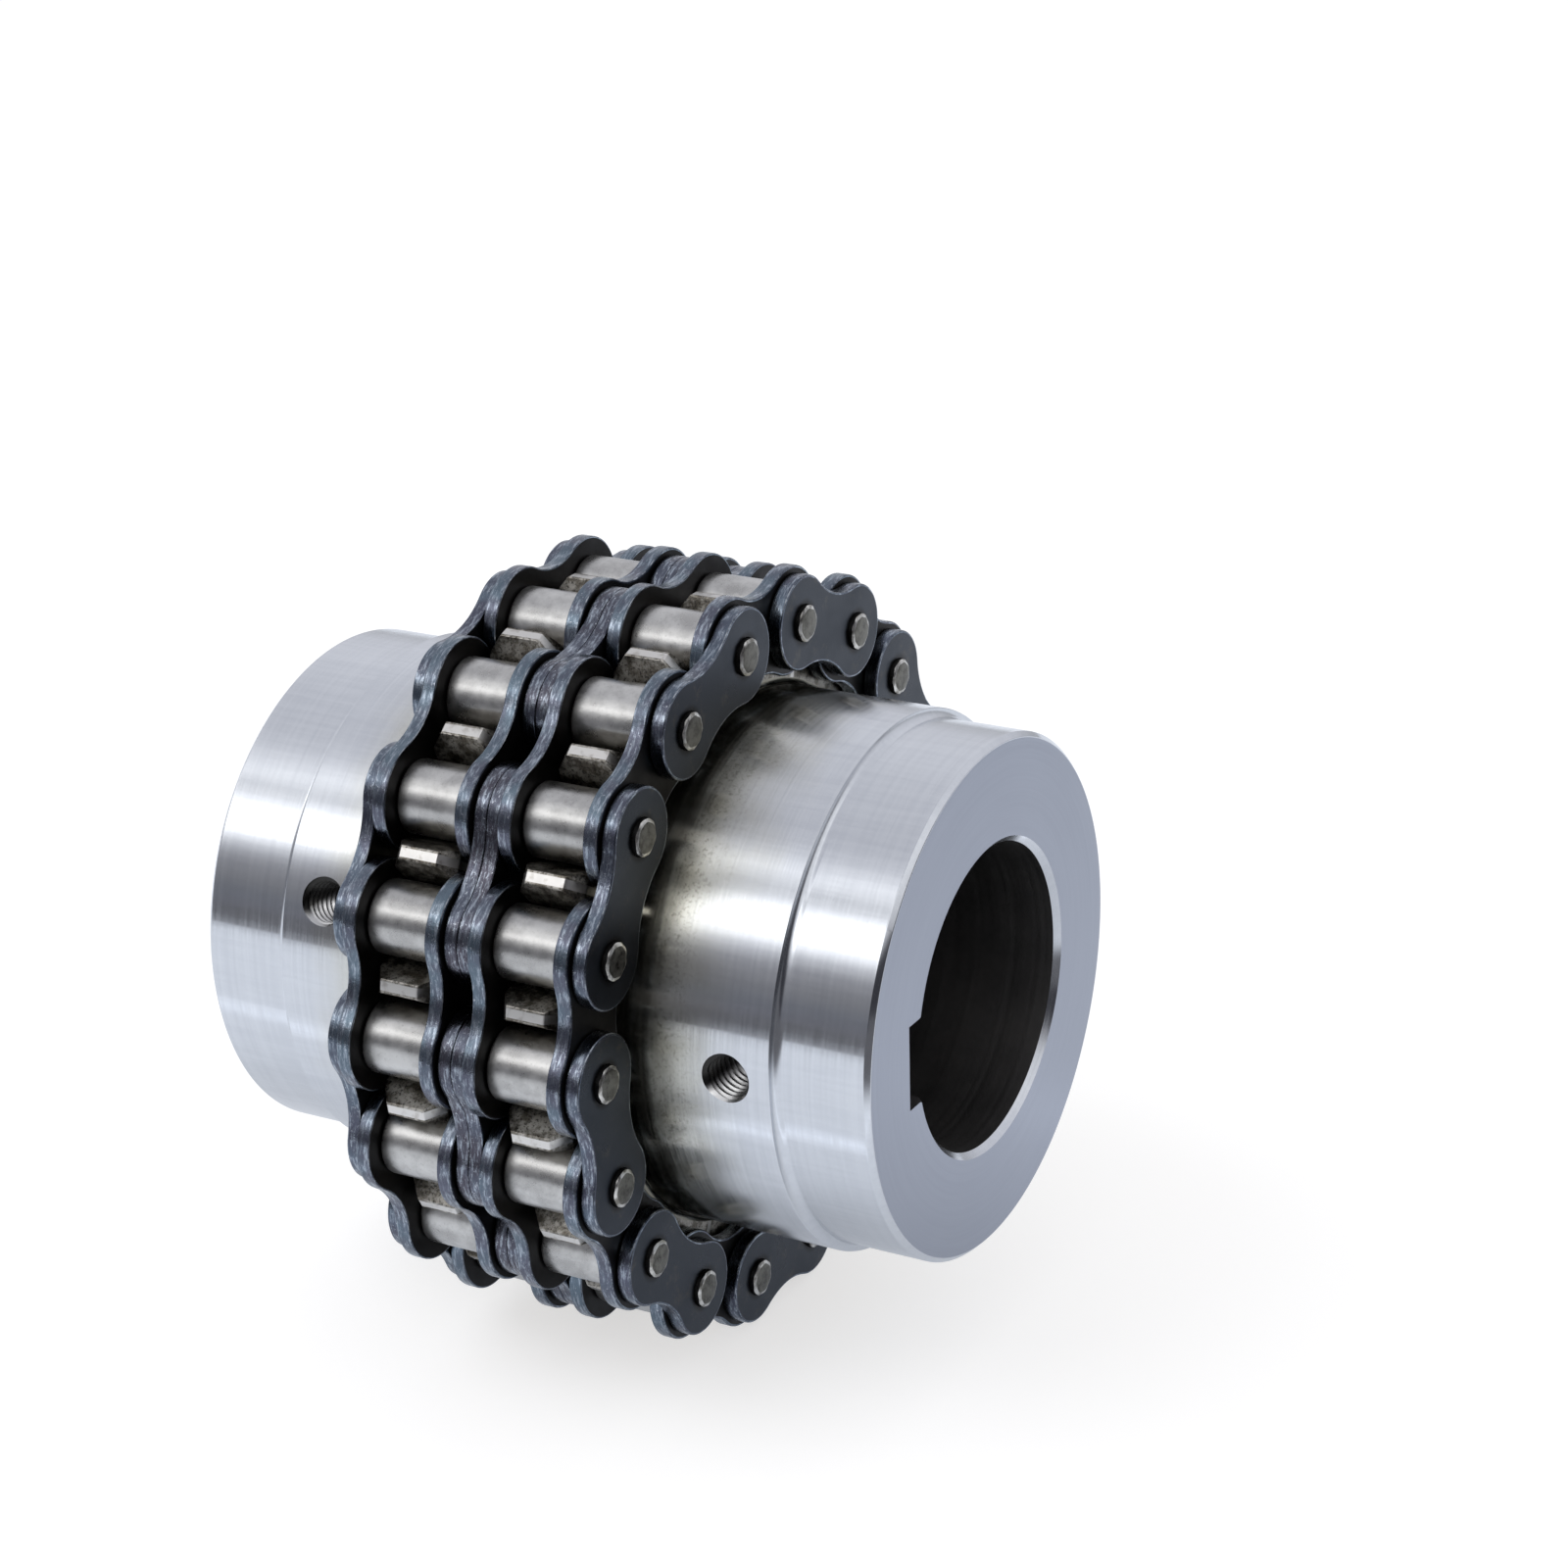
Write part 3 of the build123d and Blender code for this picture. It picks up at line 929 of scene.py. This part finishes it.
def keyway_radius(turn):
    """Radius of the bore's wall at an angle from the middle of the keyway."""
    turn = abs(remainder(turn, 2 * pi))
    if turn >= asin(KEYWAY_HALF_WIDTH / BORE_RADIUS):
        return BORE_RADIUS
    floor = KEYWAY_FLOOR / cos(turn)
    wall = KEYWAY_HALF_WIDTH / sin(turn) if turn > TINY else floor
    return min(floor, wall)


def hub_columns(key_angle):
    """(angle, outer radius) of each column of points round a hub, in order."""
    half = half_gap()
    columns = []
    for index in range(LINKS):
        middle = pin_angle(index)
        columns += [(middle - turn, radius) for turn, radius in half[1:]]
        columns += [(middle + turn, radius) for turn, radius in half]
        columns.append((middle + PIN_STEP / 2, TIP_RADIUS))
    wall_foot = asin(KEYWAY_HALF_WIDTH / BORE_RADIUS)
    floor_corner = atan2(KEYWAY_HALF_WIDTH, KEYWAY_FLOOR)
    for offset in (-wall_foot, -floor_corner, floor_corner, wall_foot):
        turn = key_angle + offset
        columns.append((turn, gap_radius(remainder(turn - FIRST_PIN_ANGLE, PIN_STEP))))
    return sorted((turn % (2 * pi), radius) for turn, radius in columns)


def tooth_edge(before, low, high, after):
    """Rounded bevel of a tooth, which shrinks to one rounded edge where the gap cuts it away."""
    if dist(low, high) > 2 * TOOTH_EDGE:
        first = round_corner(before, low, high, TOOTH_EDGE)
        return first + round_corner(low, high, after, TOOTH_EDGE)
    corner = (low[0], high[1])
    return round_corner(before, corner, after, TOOTH_EDGE, 2 * EDGE_STEPS + 1)


def hub_profile(outer, inner):
    """Section of a hub at one column, as (x, radius) points with the finish up to the next point."""
    chamfer_foot = max(BORE_RADIUS, inner)
    chamfer_top = max(BORE_RADIUS + BORE_CHAMFER, inner)
    bevel_foot = TIP_RADIUS - TOOTH_BEVEL_HEIGHT
    side = min(outer, bevel_foot)
    top = min(outer, TIP_RADIUS)
    bevel = TOOTH_BEVEL_WIDTH * max(top - bevel_foot, 0.0) / TOOTH_BEVEL_HEIGHT
    middle = (TOOTH_WIDTH / 2, top)
    root = BARREL_RADIUS + ROOT_FILLET
    back = (TOOTH_WIDTH, root)
    end_radius = BARREL_RADIUS - END_STEP
    step_foot = (HUB_LENGTH - END_LENGTH, end_radius)
    step_top = (step_foot[0] - END_STEP, BARREL_RADIUS)
    chamfer_start = (HUB_LENGTH - END_CHAMFER, end_radius)
    chamfer_end = (HUB_LENGTH, end_radius - END_CHAMFER)
    face_end = (HUB_LENGTH, chamfer_top)
    fillet_end = (TOOTH_WIDTH + ROOT_FILLET, BARREL_RADIUS)
    hollow = (step_top[0] + STEP_HOLLOW[0], BARREL_RADIUS - STEP_HOLLOW[1])
    near = tooth_edge((0.0, chamfer_top), (0.0, side), (bevel, top), middle)
    far = tooth_edge(back, (TOOTH_WIDTH, side), (TOOTH_WIDTH - bevel, top), middle)
    turned = [back]
    for turn in between(0.0, pi / 2, FILLET_STEPS)[1:]:
        x = TOOTH_WIDTH + ROOT_FILLET * (1 - cos(turn))
        turned.append((x, root - ROOT_FILLET * sin(turn)))
    turned += round_corner(fillet_end, step_top, hollow, TURNED_EDGE)
    turned += curve(turned[-1], hollow, step_foot, HOLLOW_STEPS)[1:]
    turned += round_corner(step_foot, chamfer_start, chamfer_end, TURNED_EDGE)
    turned += round_corner(chamfer_start, chamfer_end, face_end, TURNED_EDGE)
    return [
        (BORE_CHAMFER, chamfer_foot, HUB_FACED),
        *extended([(0.0, chamfer_top), *near, *reversed(far)], HUB_TOOTH),
        *extended(turned[:-1], HUB_TURNED),
        (*turned[-1], HUB_FACED),
        (*face_end, HUB_TURNED),
        (HUB_LENGTH - BORE_CHAMFER, chamfer_foot, HUB_BORED),
    ]


def hub_form(side, inner_face, key_angle):
    """A whole hub as one closed grid of columns round the axis."""
    columns = hub_columns(key_angle)
    profiles = []
    in_keyway = []
    for turn, outer in columns:
        inner = keyway_radius(turn - key_angle)
        profiles.append(hub_profile(outer, inner))
        in_keyway.append(inner > BORE_RADIUS + BORE_CHAMFER)
    rows = []
    for ring in zip(*profiles):
        row = []
        for (x, radius, finish), (turn, outer) in zip(ring, columns):
            row.append((inner_face + side * x, *around(radius, turn)))
        rows.append(row)
    chamfers = (0, len(rows) - 2)
    is_land = [outer > TIP_RADIUS - TINY for turn, outer in columns]

    def finish_at(line, step):
        finish = profiles[0][line][2]
        if line in chamfers and in_keyway[step]:
            return HUB_BORED
        if finish == HUB_TOOTH and is_land[step] and is_land[(step + 1) % len(columns)]:
            return HUB_LAND
        return finish

    form = Form()
    form.skin([*rows, rows[0]], finish_at)
    return form


def thread_cutter(x, angle):
    """Closed shape of a threaded hole with a countersunk mouth, along a line out from the axis."""
    outward = Vector((0.0, *around(1.0, angle)))
    along = Vector((1.0, 0.0, 0.0))
    across = outward.cross(along)
    origin = Vector((x, 0.0, 0.0))
    turns = round((THREAD_END - THREAD_START) / THREAD_PITCH)
    levels = [(index + share, radius) for index in range(turns) for share, radius in THREAD_WAVE]

    def point(level, radius, step):
        height = THREAD_START + (level + step / THREAD_SEGMENTS) * THREAD_PITCH
        turn = 2 * pi * step / THREAD_SEGMENTS
        wide = max(radius, height - BARREL_RADIUS + COUNTERSINK_RADIUS)
        spot = origin + outward * height + along * wide * cos(turn)
        return tuple(spot + across * wide * sin(turn))

    steps = range(THREAD_SEGMENTS + 1)
    rows = [[point(level, radius, step) for step in steps] for level, radius in levels]
    period = len(THREAD_WAVE)
    low_edge = rows[0] + [row[0] for row in reversed(rows[1:period])]
    high_edge = rows[-1] + [row[-1] for row in reversed(rows[-period:-1])]
    form = Form()
    form.skin(rows, HUB_THREAD, closed=False)
    form.cap(low_edge, tuple(origin + outward * THREAD_START_TIP), HUB_THREAD)
    form.cap(high_edge, tuple(origin + outward * THREAD_END_TIP), HUB_THREAD)
    return form


def cut(piece, cutter):
    """Take the cutter's shape out of a piece and delete the cutter."""
    difference = piece.modifiers.new("cut", "BOOLEAN")
    difference.object = cutter
    difference.operation = "DIFFERENCE"
    difference.solver = "EXACT"
    bpy.context.view_layer.update()
    solid = piece.evaluated_get(bpy.context.evaluated_depsgraph_get())
    piece.data = bpy.data.meshes.new_from_object(solid)
    piece.modifiers.remove(difference)
    bpy.data.objects.remove(cutter)


def hub_piece(side_name, side, key_angle):
    """A hub with its teeth, keyway and threaded set screw hole, in place of its node."""
    node = f"{side_name}_hub"
    left, right = node_ends(node)
    inner_face = left if side > 0 else right
    mount = next(m for m in frame["record"]["mounts"] if m["name"] == f"{side_name}_set_screw")
    x = mount["pos_m"][0]
    mouth = (x, *around(BARREL_RADIUS * MM, key_angle))
    finishes = [TURNED, FACED, BORED, TOOTH, thread_steel(f"{side_name}_thread_steel", mouth), TOOTH_LAND]
    name = f"{node}_dressed"
    piece = add_object(name, make_mesh(name, hub_form(side, inner_face, key_angle), finishes))
    cut(piece, add_object("thread", make_mesh("thread", thread_cutter(x / MM, key_angle), finishes)))
    piece.data.name = name
    dress(piece, node, node)


def build_chain():
    """All the pieces of the chain."""
    half = LINKS // 2
    for side_name, side in (("right", 1), ("left", -1)):
        for place, outward in (("outboard", side), ("inboard", -side)):
            node = f"inner_plates_{side_name}_{place}"
            plate_piece(node, INNER_PLATE, CONNECTING_PIN + 1, half, outward, PLATE_SHADED, INNER_RIM)
        node = f"middle_plates_{side_name}"
        plate_piece(node, LOOSE_PLATE, CONNECTING_PIN, half, side, PLATE_SHADED, MIDDLE_RIM)
        node = f"outer_plates_{side_name}"
        plate_piece(node, OUTER_PLATE, CONNECTING_PIN + 2, half - 1, side, PLATE_FACE, OUTER_RIM)
        for index in range(LINKS):
            roller_piece(f"roller_{side_name}_{index + 1:02d}", index)
        for slot in frame["nodes"][f"bushes_{side_name}"].material_slots:
            slot.material = BUSH
    plate_piece("connecting_link_plate", OUTER_PLATE, CONNECTING_PIN, 1, -1, PLATE_FACE, OUTER_RIM)
    plate_piece("connecting_cover_plate", LOOSE_PLATE, CONNECTING_PIN, 1, 1, PLATE_FACE, OUTER_RIM)
    connecting = (CONNECTING_PIN, CONNECTING_PIN + 1)
    pin_piece("riveted_pins", [index for index in range(LINKS) if index not in connecting], rise=RIVET_RISE)
    clip_left, clip_right = node_ends("spring_clip")
    groove_start, groove_end = clip_left - CLIP_SIDE_PLAY, clip_right + CLIP_SIDE_PLAY
    groove = [
        (groove_start, PIN_RADIUS),
        (groove_start, CLIP_GROOVE_RADIUS),
        (groove_end, CLIP_GROOVE_RADIUS),
        (groove_end, PIN_RADIUS),
    ]
    pin_piece("connecting_pins", connecting, groove)
    clip_piece("spring_clip")


def build_camera():
    """The camera of the photograph."""
    lean = Matrix.Rotation(pi / 2 - CAMERA_ELEVATION, 3, "X")
    turn = Matrix.Rotation(CAMERA_AZIMUTH, 3, "Z") @ lean @ Matrix.Rotation(CAMERA_ROLL, 3, "Z")
    spot = turn @ Vector((CAMERA_RIGHT, CAMERA_UP, CAMERA_DISTANCE))
    lens = bpy.data.cameras.new("camera")
    lens.lens = CAMERA_LENS
    lens.sensor_width = SENSOR_WIDTH
    lens.sensor_fit = "HORIZONTAL"
    lens.clip_start, lens.clip_end = CAMERA_CLIP
    camera = add_object("camera", lens)
    camera.matrix_world = Matrix.Translation(spot * MM) @ turn.to_4x4()
    bpy.context.scene.camera = camera


# Brightness of the studio as metal mirrors it, by the sine of the height above the horizon
FRONT_WALL = (
    (-0.10, (0.20, 0.20, 0.22)),
    (0.00, (0.22, 0.22, 0.25)),
    (0.09, (0.21, 0.22, 0.25)),
    (0.20, (0.28, 0.28, 0.30)),
    (0.34, (0.40, 0.40, 0.43)),
    (0.44, (0.97, 0.98, 1.02)),
    (0.64, (1.10, 1.11, 1.15)),
    (0.74, (0.88, 0.89, 0.93)),
    (0.80, (1.55, 1.56, 1.60)),
    (0.86, (0.91, 0.92, 0.98)),
    (0.91, (0.71, 0.72, 0.78)),
    (1.00, (0.72, 0.73, 0.79)),
)
BACK_WALL = (
    (-0.10, (0.50, 0.51, 0.54)),
    (0.00, (0.50, 0.51, 0.54)),
    (0.25, (0.80, 0.81, 0.87)),
    (0.60, (0.90, 0.91, 0.97)),
    (1.00, (0.76, 0.77, 0.83)),
)
# The side that each part of the studio faces, and the soft limits of its sides, bottom and top
FRONT_AZIMUTH = radians(15)
FRONT_SIDES = (-0.55, 0.1)
SOFT_BOX_AZIMUTH = radians(-18)
SOFT_BOX_SIDES = (0.3, 0.6)
SOFT_BOX_BOTTOM = (0.42, 0.54)
SOFT_BOX_TOP = (0.60, 0.72)
SOFT_BOX_LEVEL = 1.5
DARK_CORNER_AZIMUTH = radians(75)
DARK_CORNER_SIDES = (0.55, 0.8)
DARK_CORNER_TOP = (0.26, 0.36)
DARK_CORNER = (0.05, 0.05, 0.06)
DIFFUSE_LEVEL = 0.78
WHITE = (1.0, 1.0, 1.0)
# The lights are long strips along the shaft, so they look lower far out on the left
LEFT_STRETCH = (-0.58, -0.43, 1.108, 1.0)


def heading(azimuth):
    """Level direction from the coupling, counted from -Y towards +X."""
    return (sin(azimuth), -cos(azimuth), 0.0)


def build_world():
    """Studio light: a soft box at the front left, a room in front that is dim low down and has a dark
    corner at the right, and a pale room behind."""
    world = bpy.data.worlds.new("studio")
    world.use_nodes = True
    bpy.context.scene.world = world
    world.node_tree.nodes.clear()
    web = Web(world.node_tree)
    direction = web.add("ShaderNodeTexCoord").outputs["Generated"]
    axes = web.axes(direction)
    height = web.times(axes["Z"], web.spread(axes["X"], *LEFT_STRETCH, shape="LINEAR"))
    flat = web.vectors("NORMALIZE", web.vectors("MULTIPLY", direction, (1.0, 1.0, 0.0)))

    def facing(azimuth, limits):
        return web.spread(web.dot(flat, heading(azimuth)), *limits)

    front = facing(FRONT_AZIMUTH, FRONT_SIDES)
    walls = web.blend(front, web.wall(height, BACK_WALL), web.wall(height, FRONT_WALL))
    below = web.spread(height, *DARK_CORNER_TOP, 1.0, 0.0)
    corner = web.times(facing(DARK_CORNER_AZIMUTH, DARK_CORNER_SIDES), below)
    walls = web.blend(corner, walls, web.plain_light(DARK_CORNER))
    box = web.times(facing(SOFT_BOX_AZIMUTH, SOFT_BOX_SIDES), SOFT_BOX_LEVEL)
    box = web.times(box, web.spread(height, *SOFT_BOX_BOTTOM))
    box = web.times(box, web.spread(height, *SOFT_BOX_TOP, 1.0, 0.0))
    mirrored = web.both(walls, web.plain_light(WHITE, box))
    path = web.add("ShaderNodeLightPath")
    light = web.blend(web.mirrored_ray(path), web.plain_light((DIFFUSE_LEVEL,) * 3), mirrored)
    seen = web.blend(path.outputs["Is Camera Ray"], light, web.plain_light(WHITE))
    web.add("ShaderNodeOutputWorld", {0: seen})


# Edges of the pale table as metal mirrors it: the side they face and where the table ends
TABLE_EDGES = (
    (radians(60), 0.18, 0.26),
    (radians(-8.5), 0.48, 0.515),
)
LIGHT_STRIP = 0.086
LIGHT_STRIP_HALF_WIDTH = 0.007
LIGHT_STRIP_CORE = 0.3 * LIGHT_STRIP_HALF_WIDTH
LIGHT_STRIP_LEVEL = 0.8
# Painted shadow on the mirrored table under the coupling: its sideways edges and its darkest level
SHADOW_EDGE = (0.02, 0.065)
SHADOW_LEVEL = 0.70
FLOOR_HALF_WIDTH = 6.0
FLOOR_COLOUR = (0.50, 0.51, 0.53)
FLOOR_GLOW = (0.62, 0.61, 0.60)
FLOOR_MIRRORED_GLOW = (0.51, 0.54, 0.60)
BEYOND_COLOUR = (0.165, 0.165, 0.18)


def floor_paint():
    """Pale floor that glows for the camera; metal mirrors a table with light strips, dark edges and a
    painted shadow under the coupling.
    """
    paint = Finish("floor_paint", 0.9, 0.0)
    paint.use("Specular IOR Level", 0.0)
    paint.use("Base Color", FLOOR_COLOUR)
    path = paint.add("ShaderNodeLightPath")
    mirror = paint.mirrored_ray(path)
    sideways = paint.maths("ABSOLUTE", paint.axes(paint.place)["Y"])
    beside = paint.maths("ABSOLUTE", paint.maths("SUBTRACT", sideways, LIGHT_STRIP))
    strip = paint.spread(beside, LIGHT_STRIP_CORE, LIGHT_STRIP_HALF_WIDTH, LIGHT_STRIP_LEVEL, 0.0)
    # painted shadow: the mirrored table darkens under the coupling
    under = paint.spread(sideways, *SHADOW_EDGE, SHADOW_LEVEL, 1.0)
    mirrored = paint.times(mirror, paint.maths("ADD", strip, under))
    strength = paint.maths("MAXIMUM", path.outputs["Is Camera Ray"], mirrored)
    colour = paint.mix(mirror, FLOOR_GLOW, FLOOR_MIRRORED_GLOW)
    glow = paint.add("ShaderNodeEmission", {"Color": colour, "Strength": strength})
    table = paint.both(paint.shader.outputs[0], glow.outputs[0])
    away = 0.0
    for azimuth, start, end in TABLE_EDGES:
        reach = paint.dot(paint.place, heading(azimuth))
        away = paint.maths("MAXIMUM", away, paint.spread(reach, start, end))
    dark = paint.add("ShaderNodeEmission", {"Color": BEYOND_COLOUR})
    final = paint.blend(paint.times(away, mirror), table, dark.outputs[0])
    paint.give(paint.tree.nodes["Material Output"].inputs["Surface"], final)
    return paint.material


def build_floor():
    """Floor under the coupling, which fades to white and keeps a soft shadow."""
    level = solid_box[0].z
    near, far = -FLOOR_HALF_WIDTH, FLOOR_HALF_WIDTH
    corners = [(near, near, level), (far, near, level), (far, far, level), (near, far, level)]
    mesh = bpy.data.meshes.new("floor")
    mesh.from_pydata(corners, [], [(0, 1, 2, 3)])
    mesh.materials.append(floor_paint())
    floor = add_object("floor", mesh)


LAMP_PLACE = Vector((-0.45, -0.55, 0.95))
LAMP_SIZE = (0.9, 0.6)
LAMP_ENERGY = 4.0


def build_lamp():
    """One soft lamp from the upper left, for the shadow's direction."""
    light = bpy.data.lights.new("key", "AREA")
    light.shape = "RECTANGLE"
    light.size, light.size_y = LAMP_SIZE
    light.energy = LAMP_ENERGY
    lamp = add_object("key", light)
    lamp.location = LAMP_PLACE
    lamp.rotation_euler = (-LAMP_PLACE).to_track_quat("-Z", "Y").to_euler()
    lamp.visible_glossy = False


build_chain()
hub_piece("right", 1, pin_angle(RIGHT_KEY_PIN) + RIGHT_KEY_LEAD)
hub_piece("left", -1, pin_angle(LEFT_KEY_PIN) + LEFT_KEY_LEAD)
build_floor()
build_world()
build_lamp()
build_camera()
bpy.context.scene.view_settings.view_transform = "Standard"
